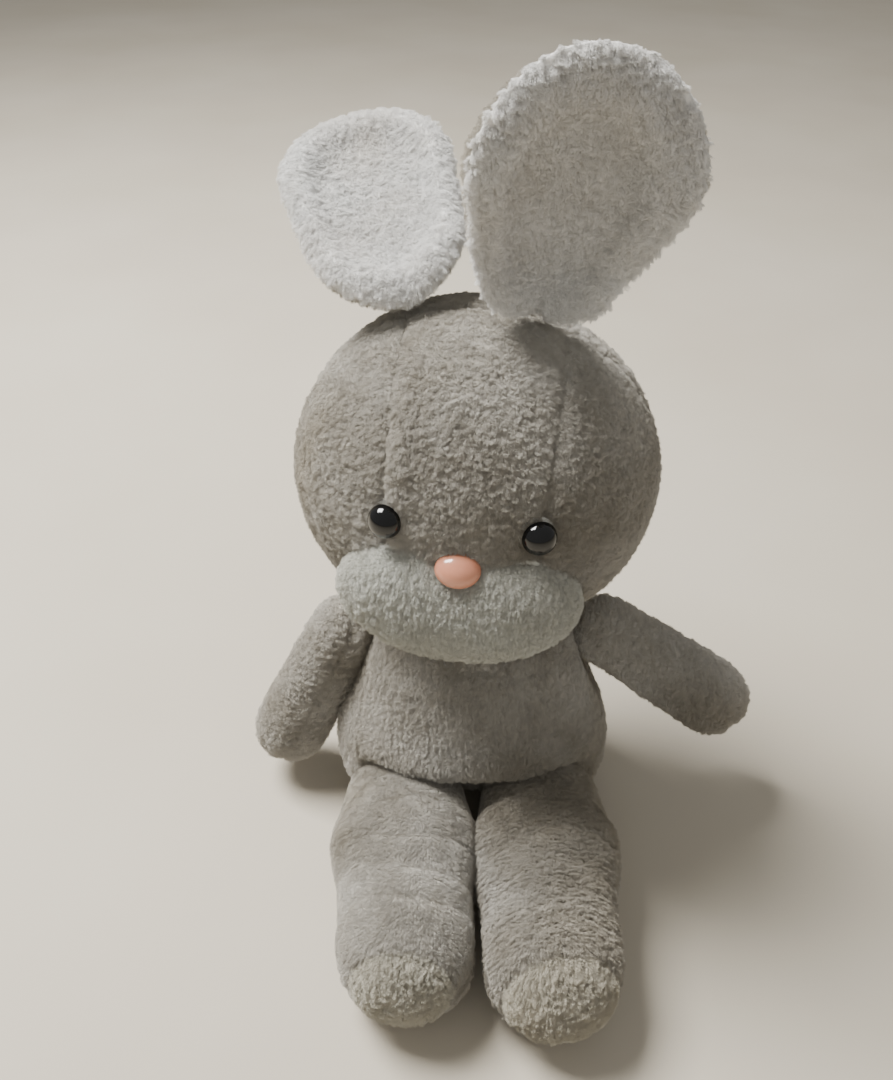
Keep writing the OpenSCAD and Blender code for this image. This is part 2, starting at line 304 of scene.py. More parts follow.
def stuffed(obj, region, cap, pressure=4.0, frames=20):
    """Blows the form up as cloth that is held along its seams, then limits how far it went."""
    start = points_of(obj.data)
    held = region_edges(start, edges_of(obj.data), region)
    group = obj.vertex_groups.new(name="seams")
    group.add(np.flatnonzero(held).tolist(), 1.0, "REPLACE")
    cloth = obj.modifiers.new("cloth", "CLOTH")
    cloth.settings.use_pressure = True
    cloth.settings.uniform_pressure_force = pressure
    cloth.settings.effector_weights.gravity = 0
    cloth.settings.vertex_group_mass = "seams"
    cloth.settings.quality = 4
    cloth.point_cache.frame_start = 1
    cloth.point_cache.frame_end = frames
    for number in range(1, frames + 1):
        bpy.context.scene.frame_set(number)
    applied(obj)
    obj.vertex_groups.clear()
    bpy.context.scene.frame_set(1)
    move = points_of(obj.data) - start
    length = np.linalg.norm(move, axis=1, keepdims=True)
    move *= np.minimum(1, cap / np.maximum(length, TINY))
    set_points(obj.data, start + move)
    relaxed(obj.data, 2)


def bisected(obj, planes):
    """Cuts edges into the mesh where the seams run. A plane is a point and a normal."""
    form = bmesh.new()
    form.from_mesh(obj.data)
    for point, normal in planes:
        everything = form.verts[:] + form.edges[:] + form.faces[:]
        bmesh.ops.bisect_plane(form, geom=everything, dist=CUT_SNAP, plane_co=point, plane_no=normal)
    form.to_mesh(obj.data)
    form.free()


def seam_points(mesh, labels):
    """The vertices where faces of two panels meet."""
    first = np.full(len(mesh.vertices), -1)
    mark = np.zeros(len(mesh.vertices), bool)
    for face, label in zip(mesh.polygons, labels):
        for vertex in face.vertices:
            if first[vertex] < 0:
                first[vertex] = label
            elif first[vertex] != label:
                mark[vertex] = True
    return mark


def distance_to(points, targets):
    if not len(targets):
        return np.full(len(points), FAR)
    tree = kdtree.KDTree(len(targets))
    for i, target in enumerate(targets):
        tree.insert(target, i)
    tree.balance()
    return np.array([tree.find(p)[2] for p in points])


def fractal(points, size, seed, octaves=2):
    """Smooth noise from about -1 to 1, with features of the given size."""
    shift = Vector([seed * step for step in SEED_STEP])
    return np.array([noise.fractal(Vector(p) / size + shift, 1.0, 2.0, octaves) for p in points])


def pile_relief(points, seed):
    """Height of the matted pile: small clumps over slow, shallow dents."""
    clumps = fractal(points, TUFT_SIZE, seed)
    dents = fractal(points, DENT_SIZE, seed + 1)
    return TUFT_HEIGHT * clumps + DENT_DEPTH * dents


def closed_shell(points, normals, faces, used):
    """Vertices and faces of a closed panel of cloth that lies under the given surface."""
    count = len(used)
    number = np.full(len(points), -1)
    number[used] = np.arange(count)
    outer = points[used]
    inner = outer - CLOTH * normals[used]
    made = []
    border = {}
    for face in faces:
        ring = [int(number[v]) for v in face]
        made.append(ring)
        made.append([v + count for v in reversed(ring)])
        for a, b in zip(ring, ring[1:] + ring[:1]):
            if (b, a) in border:
                del border[(b, a)]
            else:
                border[(a, b)] = True
    for a, b in border:
        made.append([b, a, a + count, b + count])
    return np.vstack([outer, inner]), made


def panel(name, points, normals, faces, seam_distance):
    """One cloth panel with a vertex group that says where its pile stands."""
    used = np.unique(np.concatenate([np.asarray(f) for f in faces]))
    shell, made = closed_shell(points, normals, faces, used)
    mesh = bpy.data.meshes.new(name)
    mesh.from_pydata(shell.tolist(), [], made)
    smooth_shading(mesh)
    obj = new_object(name, mesh)
    group = obj.vertex_groups.new(name="pile")
    near = seam_distance[used] < 0.6 * SEAM_WIDTH
    group.add(np.flatnonzero(~near).tolist(), 1.0, "REPLACE")
    group.add(np.flatnonzero(near).tolist(), SEAM_PILE, "REPLACE")
    return obj


# ---- materials ----

def srgb(r, g, b):
    """A colour given as a screen shows it, 0 to 255, as linear light."""
    return tuple(((c / 255 + 0.055) / 1.055) ** 2.4 for c in (r, g, b)) + (1.0,)


def node_in(tree, kind, **values):
    made = tree.nodes.new(kind)
    for key, value in values.items():
        made.inputs[key.replace("_", " ")].default_value = value
    return made


def blank_material(name):
    material = bpy.data.materials.new(name)
    material.use_nodes = True
    shader = material.node_tree.nodes["Principled BSDF"]
    return material, material.node_tree, shader


def patches(tree, place, scale, low, high, detail=3.0):
    """A slow noise as a number from 0 to 1."""
    cloud = node_in(tree, "ShaderNodeTexNoise", Scale=scale, Detail=detail, Roughness=0.55)
    tree.links.new(place.outputs["Object"], cloud.inputs["Vector"])
    spread = node_in(tree, "ShaderNodeMapRange")
    spread.inputs["From Min"].default_value = low
    spread.inputs["From Max"].default_value = high
    tree.links.new(cloud.outputs["Fac"], spread.inputs["Value"])
    return spread.outputs["Result"]


def mixed(tree, share, first, second):
    mix = tree.nodes.new("ShaderNodeMix")
    mix.data_type = "RGBA"
    tree.links.new(share, mix.inputs["Factor"])
    for socket, value in ((mix.inputs[6], first), (mix.inputs[7], second)):
        if isinstance(value, tuple):
            socket.default_value = value
        else:
            tree.links.new(value, socket)
    return mix.outputs[2]


def plush(name, light, dark, worn, sheen=0.35, basin_shade=None):
    """Pile fabric: pale and dark patches, a worn tint, fine fibres in the bump.

    basin is a colour of painted shade for the hollow of an ear, mixed in where the panel's basin
    attribute is 1."""
    material, tree, shader = blank_material(name)
    place = tree.nodes.new("ShaderNodeTexCoord")
    broad = patches(tree, place, scale=14.0, low=0.35, high=0.68)
    fine = patches(tree, place, scale=260.0, low=0.3, high=0.72, detail=2.0)
    rubbed = patches(tree, place, scale=6.0, low=0.52, high=0.75)
    base = mixed(tree, broad, light, dark)
    worn_base = mixed(tree, rubbed, base, worn)
    # painted shade: a darker beige mixed in over the ear's hollow, by the panel's attribute
    if basin_shade:
        hollow = tree.nodes.new("ShaderNodeAttribute")
        hollow.attribute_name = "basin_shade"
        worn_base = mixed(tree, hollow.outputs["Fac"], worn_base, basin_shade)
    speck = tree.nodes.new("ShaderNodeMix")
    speck.data_type = "RGBA"
    speck.blend_type = "MULTIPLY"
    speck.inputs["Factor"].default_value = 0.55
    shade = node_in(tree, "ShaderNodeMapRange")
    shade.inputs["To Min"].default_value = 0.66
    tree.links.new(fine, shade.inputs["Value"])
    tree.links.new(worn_base, speck.inputs[6])
    tree.links.new(shade.outputs["Result"], speck.inputs[7])
    tree.links.new(speck.outputs[2], shader.inputs["Base Color"])
    bump = node_in(tree, "ShaderNodeBump", Strength=0.5, Distance=0.6 * MM)
    tree.links.new(fine, bump.inputs["Height"])
    tree.links.new(bump.outputs["Normal"], shader.inputs["Normal"])
    shader.inputs["Roughness"].default_value = 0.92
    shader.inputs["Specular IOR Level"].default_value = 0.2
    shader.inputs["Sheen Weight"].default_value = sheen
    shader.inputs["Sheen Roughness"].default_value = 0.5
    return material


def plastic(name, colour, dark, roughness, coat):
    """Moulded plastic with faint clouding and fine scratches in its gloss."""
    material, tree, shader = blank_material(name)
    place = tree.nodes.new("ShaderNodeTexCoord")
    cloudy = patches(tree, place, scale=90.0, low=0.35, high=0.7)
    tree.links.new(mixed(tree, cloudy, colour, dark), shader.inputs["Base Color"])
    scuffs = patches(tree, place, scale=700.0, low=0.3, high=0.8)
    gloss = node_in(tree, "ShaderNodeMapRange")
    gloss.inputs["To Min"].default_value = roughness
    gloss.inputs["To Max"].default_value = roughness + 0.08
    tree.links.new(scuffs, gloss.inputs["Value"])
    tree.links.new(gloss.outputs["Result"], shader.inputs["Roughness"])
    shader.inputs["Coat Weight"].default_value = coat
    shader.inputs["Coat Roughness"].default_value = 0.05
    return material


def filling_material():
    material, tree, shader = blank_material("fibre_filling")
    place = tree.nodes.new("ShaderNodeTexCoord")
    wisps = patches(tree, place, scale=120.0, low=0.3, high=0.7, detail=6.0)
    fibres = mixed(tree, wisps, srgb(240, 240, 238), srgb(222, 222, 218))
    tree.links.new(fibres, shader.inputs["Base Color"])
    bump = node_in(tree, "ShaderNodeBump", Strength=0.7, Distance=1.5 * MM)
    tree.links.new(wisps, bump.inputs["Height"])
    tree.links.new(bump.outputs["Normal"], shader.inputs["Normal"])
    shader.inputs["Roughness"].default_value = 1.0
    return material


def floor_material():
    material, tree, shader = blank_material("pale_floor")
    place = tree.nodes.new("ShaderNodeTexCoord")
    cloud = patches(tree, place, scale=3.0, low=0.3, high=0.7)
    board = mixed(tree, cloud, srgb(198, 190, 174), srgb(190, 181, 164))
    tree.links.new(board, shader.inputs["Base Color"])
    shader.inputs["Roughness"].default_value = 0.7
    return material


GREY = plush("grey_plush", srgb(210, 206, 197), srgb(168, 161, 147), srgb(188, 179, 161))
WHITE = plush("white_plush", srgb(218, 218, 209), srgb(202, 200, 189), srgb(206, 199, 182), sheen=0.25)
# the last colour is painted shade for the hollow of the ear's lining
EAR_WHITE = plush(
    "ear_plush", srgb(250, 250, 248), srgb(243, 241, 237), srgb(240, 235, 226), basin_shade=srgb(206, 194, 176)
)
CREAM = plush("cream_plush", srgb(216, 212, 198), srgb(198, 192, 176), srgb(204, 194, 172), sheen=0.25)
FILLING = filling_material()
EYE = plastic("eye_plastic", srgb(5, 5, 6), srgb(9, 9, 10), roughness=0.05, coat=0.25)
NOSE = plastic("nose_plastic", srgb(214, 148, 120), srgb(204, 134, 106), roughness=0.16, coat=0.6)
WASHER = plastic("washer_plastic", srgb(226, 226, 220), srgb(212, 212, 204), roughness=0.4, coat=0.0)
THREAD = plush("thread", srgb(150, 142, 130), srgb(128, 120, 108), srgb(140, 130, 116), sheen=0.1)


# ---- pile ----

PILE_PARENTS = 300000       # guide hairs on a square metre
PILE_CHILDREN = 26
HAIR_TIME = 4.0             # Blender grows a hair for this long, so its factors are lengths over this


def area_of(mesh):
    """Area of the outer side of a closed cloth panel."""
    return 0.5 * sum(face.area for face in mesh.polygons)


PILE_LAY = (0, 0, -0.45)    # brushed downwards
LEG_LAY = (0, -0.42, -0.05)            # brushed towards the toes
PILE_CLUMP = 0.13


def pile(obj, length, seed, lay=PILE_LAY):
    """Short fibres that stand on a panel, matted into small tufts."""
    obj.modifiers.new("pile", "PARTICLE_SYSTEM")
    system = obj.particle_systems[-1]
    system.vertex_group_density = "pile"
    system.seed = seed
    hair = system.settings
    hair.type = "HAIR"
    hair.count = int(PILE_PARENTS * area_of(obj.data))
    hair.hair_step = 3
    hair.render_step = 3
    hair.display_step = 2
    hair.use_modifier_stack = True
    hair.use_advanced_hair = True
    speed = length / HAIR_TIME
    hair.normal_factor = 0.75 * speed
    hair.object_align_factor = [speed * part for part in lay]
    hair.factor_random = 0.22 * speed
    hair.child_type = "INTERPOLATED"
    hair.child_percent = 1
    hair.rendered_child_count = PILE_CHILDREN
    hair.clump_factor = PILE_CLUMP
    hair.clump_shape = 0.1
    hair.roughness_1 = 0.0008
    hair.roughness_1_size = 0.004
    hair.roughness_2 = 0.0009
    hair.roughness_2_size = 0.01
    hair.child_length = 1.0
    hair.root_radius = 0.12
    hair.tip_radius = 0.05
    hair.radius_scale = MM
    hair.shape = -0.2
    hair.use_hair_bspline = False


# ---- finishing a soft form ----

def shrunk(obj, depth):
    """Draws the surface in by the pile's thickness, but not where it rests on the floor."""
    points = points_of(obj.data)
    lifted = off_floor(points, 1 * MM, 6 * MM)
    set_points(obj.data, points - depth * lifted[:, None] * normals_of(obj.data))


def finished(obj, body, region, planes, names, shape=None, seed=1, lay=PILE_LAY):
    """Cuts a soft form into its cloth panels, shapes it and gives it pile.

    names holds, for each label of region, the node that the panel stands for, its material, its
    slot and its pile length. shape returns how far each point moves along its normal. lay is the
    way the pile is brushed, as a share of its length on each axis."""
    subdivided(obj, FINE)
    bisected(obj, planes)
    mesh = obj.data
    labels = region(read(mesh.polygons, "center", 3))
    marks = seam_points(mesh, labels)
    points = points_of(mesh)
    normals = normals_of(mesh)
    distance = distance_to(points, points[marks])
    move = -SEAM_DEPTH * hill(distance, SEAM_WIDTH)
    move += pile_relief(points, seed) * off_floor(points, 0.5 * MM, 5 * MM)
    if shape:
        move += shape(points, normals)
    points = points + move[:, None] * normals
    points[:, 2] = np.maximum(points[:, 2], FLOOR_GAP)
    set_points(mesh, points)
    normals = normals_of(mesh)
    faces = [tuple(face.vertices) for face in mesh.polygons]
    made = []
    for label, (node, material, slot, length) in enumerate(names):
        mine = [face for face, own in zip(faces, labels) if own == label]
        if not mine:
            raise ValueError("no faces for " + node)
        piece = panel(node + "_cloth", points, normals, mine, distance)
        piece.data.materials.append(material)
        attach(piece, body)
        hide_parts(node)
        pile(piece, length, seed + label, lay)
        made.append(piece)
    bpy.data.objects.remove(obj)
    return made


def filling(name, form, depth, body, nodes):
    """The stuffing under the cloth: the same form, drawn in."""
    mesh = form.data.copy()
    piece = new_object(name, mesh)
    points = points_of(mesh)
    lifted = points - depth * normals_of(mesh)
    lifted[:, 2] = np.maximum(lifted[:, 2], depth)
    set_points(mesh, lifted)
    mesh.materials.clear()
    mesh.materials.append(FILLING)
    smooth_shading(mesh)
    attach(piece, body)
    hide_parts(*nodes)
    return piece


def round_form(name, cuts):
    """A closed ball of even quads with radius 1, as an object."""
    form = bmesh.new()
    bmesh.ops.create_cube(form, size=2)
    bmesh.ops.subdivide_edges(form, edges=form.edges[:], cuts=cuts, use_grid_fill=True)
    mesh = bpy.data.meshes.new(name)
    form.to_mesh(mesh)
    form.free()
    points = np.tan(points_of(mesh) * math.pi / 4)
    set_points(mesh, points / np.linalg.norm(points, axis=1, keepdims=True))
    return new_object(name, mesh)


# ---- head ----

def head_region(points):
    q = local(points, HEAD_FRAME)
    edge = BROW_X + (q[:, 2] - BROW_Z) * math.tan(BROW_SPREAD)
    front = q[:, 1] < CROWN_SEAM_Y
    left = q[:, 0] > 0
    label = np.where(front, np.where(left, 1, 2), np.where(left, 3, 4))
    label[front & (q[:, 2] > BROW_Z) & (np.abs(q[:, 0]) < edge)] = 0
    return label


def head_planes():
    lean = math.tan(BROW_SPREAD)
    turn = HEAD_FRAME.to_3x3()
    planes = []
    for sign in (1, -1):
        planes.append(((sign * BROW_X, 0, BROW_Z), (1, 0, -sign * lean)))
    planes.append(((0, CROWN_SEAM_Y, 0), (0, 1, 0)))
    planes.append(((0, 0, BROW_Z), (0, 0, 1)))
    planes.append(((0, 0, 0), (1, 0, 0)))
    return [(HEAD_FRAME @ Vector(at), turn @ Vector(way)) for at, way in planes]


HEAD_CUTS = 31
FACE_DENTS = (("left_eye", 3.4, 11), ("right_eye", 3.4, 11), ("nose", 2.5, 12))   # depth, reach in mm
RIDGE_IN = 5 * MM           # from the right forehead seam to the ridge beside it
RIDGE_MIDDLE = 34 * MM
RIDGE_LONG = 26 * MM
RIDGE_WIDE = 4 * MM
RIDGE_HIGH = 2.2 * MM
NECK_GAP = 0.6 * MM         # between the neck's ball and the head's socket


def away_from(node, points):
    return np.linalg.norm(points - np.array(middle(node)), axis=1)


def head_shape(points, normals):
    """Dents that the eyes and the nose pull in, and the raised ridge beside the right forehead seam."""
    move = np.zeros(len(points))
    for node, depth, reach in FACE_DENTS:
        move -= depth * MM * hill(away_from(node, points), reach * MM)
    q = local(points, HEAD_FRAME)
    beside = q[:, 0] + BROW_X - RIDGE_IN
    tall = hill(q[:, 2] - RIDGE_MIDDLE, RIDGE_LONG)
    ridge = hill(beside, RIDGE_WIDE) * tall * (q[:, 1] < 0)
    return move + RIDGE_HIGH * ridge


def make_head():
    form = round_form("head_form", HEAD_CUTS)
    half = np.array(HEAD_HALF) - PILE_DEPTH
    points = world(points_of(form.data) * half, HEAD_FRAME)
    neck = np.array(joint_at("head_nod"))
    flat = np.hypot(points[:, 0] - neck[0], points[:, 1] - neck[1])
    socket = NECK_R + NECK_GAP
    ball_top = neck[2] + np.sqrt(np.maximum(socket ** 2 - flat ** 2, 0))
    under = (flat < socket) & (points[:, 2] < HEAD_MIDDLE.z) & (points[:, 2] < ball_top)
    points[under, 2] = ball_top[under]
    set_points(form.data, points)
    stuffed(form, head_region, SWELL)
    filling("head_filling", form, FILL_DEPTH + HEAD_SLACK, "head", ["head_stuffing"])
    nodes = ["head_forehead_panel"]
    nodes += ["head_%s_cheek_panel" % side for side in SIDES]
    nodes += ["head_%s_back_panel" % side for side in SIDES]
    names = [(node, GREY, "grey_plush", PILE_LENGTH) for node in nodes]
    finished(form, "head", head_region, head_planes(), names, head_shape, seed=10)


# ---- muzzle ----

MUZZLE_MIDDLE = Vector((0, -66, -29)) * MM
MUZZLE_HALF = Vector((57, 26, 32)) * MM
MUZZLE_BOX = 2.12           # over 2 makes the muzzle squarer than an ellipsoid
MUZZLE_RISE = 3.5 * MM      # how far its two ends rise beside the chin
MUZZLE_CUTS = 21
LOBE_X = 31 * MM            # the two raised lobes on top
LOBE_WIDE = 17 * MM
LOBE_HIGH = 2.6 * MM
DIP_WIDE = 13 * MM          # the hollow between them
DIP_DEEP = 2.5 * MM
NOSE_REACH = 11 * MM        # where the nose pulls the muzzle in
NOSE_DENT = 2.0 * MM


def one_region(points):
    return np.zeros(len(points), int)


def muzzle_shape(points, normals):
    q = local(points, HEAD_FRAME) - np.array(MUZZLE_MIDDLE)
    top = np.clip(q[:, 2] / MUZZLE_HALF.z, 0, 1)
    dip = hill(q[:, 0], DIP_WIDE) * top
    lobes = hill(np.abs(q[:, 0]) - LOBE_X, LOBE_WIDE) * top
    return LOBE_HIGH * lobes - DIP_DEEP * dip - NOSE_DENT * hill(away_from("nose", points), NOSE_REACH)


def make_muzzle():
    form = round_form("muzzle_form", MUZZLE_CUTS)
    unit = points_of(form.data)
    size = (np.abs(unit) ** MUZZLE_BOX).sum(axis=1) ** (1 / MUZZLE_BOX)
    q = unit / size[:, None] * (np.array(MUZZLE_HALF) - 0.6 * PILE_DEPTH) + np.array(MUZZLE_MIDDLE)
    outward = (q[:, 0] / MUZZLE_HALF.x) ** 2
    q[:, 2] += MUZZLE_RISE * (outward - 0.25) * np.clip(0.6 - unit[:, 2], 0, 1)
    face = np.array(HEAD_HALF) - PILE_DEPTH - 2 * MM
    deep = np.linalg.norm(q / face, axis=1)
    inside = deep < 1
    q[inside] /= deep[inside, None]
    set_points(form.data, world(q, HEAD_FRAME))
    relaxed(form.data, 2)
    filling("muzzle_filling", form, FILL_DEPTH, "head", ["muzzle_stuffing"])
    names = [("muzzle_cover", WHITE, "white_plush", 0.85 * PILE_LENGTH)]
    finished(form, "head", one_region, [], names, muzzle_shape, seed=30)


# ---- eyes and nose ----

SHANK_R = 2.4 * MM
SHANK_LENGTH = 11 * MM
RIM = 0.7 * MM              # how far the rim rounds back behind the dome
DOME_RINGS = 16
DOME_AROUND = 64

EYE_AT = (34, -73.2, 13)    # in the head's frame, in mm
EYE_R = 8 * MM
EYE_TILT = math.radians(90 - 9)
EYE_TURN = math.radians(20)
NOSE_AT = (0, -80.6, -4)
NOSE_HALF = (10.5 * MM, 8.5 * MM)
NOSE_TILT = math.radians(90 - 48)
DOME_DEPTH = 7 * MM


def snap_piece(node, placing, half_w, half_h, material, slot):
    """A polished dome with a rounded rim and a shank behind it."""
    steps = np.linspace(0, math.pi / 2, DOME_RINGS + 1)[1:]
    rings = [(math.sin(a) * half_w, math.sin(a) * half_h, math.cos(a) * DOME_DEPTH) for a in steps]
    rings += [(share * half_w, share * half_h, z) for share, z in ((0.98, -0.5 * RIM), (0.93, -RIM))]
    rings += [(SHANK_R, SHANK_R, -RIM), (SHANK_R, SHANK_R, -SHANK_LENGTH)]
    n = DOME_AROUND
    points = [(0, 0, DOME_DEPTH)]
    for wide, high, z in rings:
        for i in range(n):
            a = 2 * math.pi * i / n
            points.append((wide * math.cos(a), high * math.sin(a), z))
    points.append((0, 0, -SHANK_LENGTH))
    faces = [(0, 1 + i, 1 + (i + 1) % n) for i in range(n)]
    for row in range(len(rings) - 1):
        for i in range(n):
            a = 1 + row * n + i
            b = 1 + row * n + (i + 1) % n
            faces.append((a, a + n, b + n, b))
    last = len(points) - 1
    start = last - n
    faces += [(start + i, last, start + (i + 1) % n) for i in range(n)]
    mesh = bpy.data.meshes.new(node + "_dome")
    mesh.from_pydata(points, [], faces)
    mesh.transform(placing)
    smooth_shading(mesh)
    mesh.materials.append(material)
    piece = new_object(node + "_dome", mesh)
    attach(piece, "head")
    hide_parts(node)


def make_face():
    x, y, z = EYE_AT
    for side, sign in SIDES.items():
        turn = turned(EYE_TILT, 0, sign * EYE_TURN)
        at = Matrix.Translation(Vector((sign * x, y, z)) * MM)
        snap_piece(side + "_eye", HEAD_FRAME @ at @ turn, EYE_R, EYE_R, EYE, "eye_plastic")
    turn = Matrix.Rotation(NOSE_TILT, 4, "X")
    at = Matrix.Translation(Vector(NOSE_AT) * MM)
    snap_piece("nose", HEAD_FRAME @ at @ turn, *NOSE_HALF, NOSE, "nose_plastic")


# ---- torso, neck and tail ----

SEAT_EDGE = 1.6 * MM        # height of the seam round the seat
SEAT_PILE = 0.25 * PILE_LENGTH         # worn flat by sitting
BELLY_Z = 58 * MM
BELLY_TALL = 20 * MM
BELLY_OUT = 3.5 * MM
HIP_FRONT = -40 * MM        # the belly's underside is in front of this and above HIP_TOP
HIP_TOP = 40 * MM
CREASES = ((118, 1.6), (106, 1.0))     # height and depth in mm
CREASE_SAG = 5 * MM         # how far a crease rises in the middle
CREASE_SPAN = 22 * MM
CREASE_WIDE = 2.4 * MM


def torso_region(points):
    q = local(points, TORSO_FRAME)
    label = np.where(q[:, 1] < 0, 0, np.where(q[:, 0] > 0, 1, 2))
    label[points[:, 2] < SEAT_EDGE] = 3
    return label


def torso_planes():
    turn = TORSO_FRAME.to_3x3()
    return [
        (TORSO_FRAME @ Vector((0, 0, 0)), turn @ Vector((0, 1, 0))),
        (Vector((0, 0, 0)), Vector((1, 0, 0))),
        (Vector((0, 0, SEAT_EDGE)), Vector((0, 0, 1))),
    ]


def torso_shape(points, normals):
    """A fuller belly over the hips and two faint creases under the chin."""
    front = np.clip(-normals[:, 1], 0, 1)
    belly = hill(points[:, 2] - BELLY_Z, BELLY_TALL)
    under = np.clip(-normals[:, 2], 0, 1) * (points[:, 1] < HIP_FRONT) * (points[:, 2] > HIP_TOP)
    move = BELLY_OUT * belly * np.clip(front + np.abs(normals[:, 0]) + under, 0, 1)
    for height, depth in CREASES:
        wave = points[:, 2] - height * MM - CREASE_SAG * np.cos(points[:, 0] / CREASE_SPAN)
        move -= depth * MM * hill(wave, CREASE_WIDE) * front
    return move


def make_torso():
    panels = ["torso_front_panel", "torso_left_back_panel", "torso_right_back_panel", "seat_panel"]
    form = soft_form("torso_form", panels + ["torso_stuffing"], 4 * MM, rounds=5)
    shrunk(form, PILE_DEPTH)
    stuffed(form, torso_region, SWELL)
    filling("torso_filling", form, FILL_DEPTH + SLACK, "torso", ["torso_stuffing"])
    names = [(node, GREY, "grey_plush", PILE_LENGTH) for node in panels]
    names[3] = ("seat_panel", GREY, "grey_plush", SEAT_PILE)
    finished(form, "torso", torso_region, torso_planes(), names, torso_shape, seed=50)


NECK_CUTS = 22
NECK_COVER = 1.5 * MM       # how far the neck's cloth stands out of its filling


def make_neck():
    """The ball of cloth and filling that the head turns on, inside the head's opening."""
    form = round_form("neck_form", NECK_CUTS)
    set_points(form.data, points_of(form.data) * (NECK_R + NECK_COVER) + np.array(joint_at("head_nod")))
    subdivided(form, 1)
    points = points_of(form.data)
    set_points(form.data, points + pile_relief(points, 70)[:, None] * normals_of(form.data))
    form.name = "neck_joint_cloth"
    group = form.vertex_groups.new(name="pile")
    group.add(list(range(len(points))), 1.0, "REPLACE")
    form.data.materials.append(GREY)
    smooth_shading(form.data)
    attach(form, "neck")
    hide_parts("neck_stuffing")
    pile(form, PILE_LENGTH, 71)


def make_tail():
    form = soft_form("tail_form", ["tail_cover", "tail_stuffing"], 2.4 * MM, rounds=3)
    filling("tail_filling", form, FILL_DEPTH, "torso", ["tail_stuffing"])
    names = [("tail_cover", WHITE, "white_plush", PILE_LENGTH)]
    finished(form, "torso", one_region, [], names, seed=75)


# ---- arms ----

ARM_SCALE = {"left": 1.0, "right": 1.06}
ARM_FOLD_Z = 16 * MM        # the crease below the shoulder
ARM_FOLD_WAVE = 3 * MM
ARM_FOLD_SPAN = 7 * MM
ARM_FOLD_DEPTH = 0.9 * MM
ARM_FOLD_WIDE = 2.5 * MM
SHOULDER_CUTS = 14


def stretched(q, scale):
    """Makes a limb longer or shorter beyond its joint."""
    q[:, 2] = np.where(q[:, 2] > 0, q[:, 2] * scale, q[:, 2])


def make_arm(side):
    placing = arm_frame(side)
    sign = SIDES[side]

    def region(points):
        return np.where(local(points, placing)[:, 0] * sign < 0, 0, 1)

    def shape(points, normals):
        q = local(points, placing)
        fold = q[:, 2] - ARM_FOLD_Z - ARM_FOLD_WAVE * np.sin(q[:, 1] / ARM_FOLD_SPAN)
        return -ARM_FOLD_DEPTH * hill(fold, ARM_FOLD_WIDE)

    arm = side + "_arm"
    panels = [arm + "_outer_panel", arm + "_inner_panel"]
    form = soft_form(arm + "_form", panels + [arm + "_stuffing"], 3.6 * MM, 4)
    shrunk(form, PILE_DEPTH)
    q = local(points_of(form.data), placing)
    stretched(q, ARM_SCALE[side])
    set_points(form.data, world(q, placing))
    stuffed(form, region, ARM_SWELL)
    filling(arm + "_filling", form, FILL_DEPTH + SLACK, arm, [arm + "_stuffing"])
    seam = (placing.translation, placing.to_3x3() @ Vector((1, 0, 0)))
    names = [(node, GREY, "grey_plush", PILE_LENGTH) for node in panels]
    finished(form, arm, region, [seam], names, shape, seed=90 + sign)


def make_shoulder(side):
    """The ball of filling that the arm turns on, inside the sleeve."""
    node = side + "_shoulder_stuffing"
    low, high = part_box(node)
    radius = (high[0] - low[0]) / 2
    form = round_form(side + "_shoulder_form", SHOULDER_CUTS)
    set_points(form.data, points_of(form.data) * radius + np.array(middle(node)))
    filling(side + "_shoulder_filling", form, 0.0, side + "_shoulder", [node])
    bpy.data.objects.remove(form)


# ---- legs ----

LEG_FOLDS = {               # place and depth in mm, and slant
    "left": ((26, 1.2, 0.5), (48, 1.7, -0.6), (62, 1.3, 0.9), (84, 1.0, -0.3)),
    "right": ((30, 0.8, -0.7), (52, 1.3, 0.4), (70, 1.1, 0.8), (88, 0.8, 0.2)),
}
FOLD_SLANT = 0.18
FOLD_WAVE = 2 * MM
FOLD_SPAN = 9 * MM
FOLD_WIDE = 2.2 * MM
ROLL_BEYOND = 7 * MM        # the cloth bulges this far beyond a fold
ROLL_WIDE = 5 * MM
TOE_PLANE = Vector((0, 0, TOE_SEAM + 5 * MM))
TOE_TURN = 0.10             # how far the toe seam turns outwards
HIP_WIDER = 0.27            # how much wider the cloth is at the hip than its filling's core
HIP_INNER = 0.85            # the share of that on the side towards the other leg
HIP_HIGHER = 1.5 * MM
HIP_REACH = 82 * MM         # the widening ends this far along the leg
HIP_FADE = 50 * MM
LEG_SCALE = {"left": 0.985, "right": 0.955}


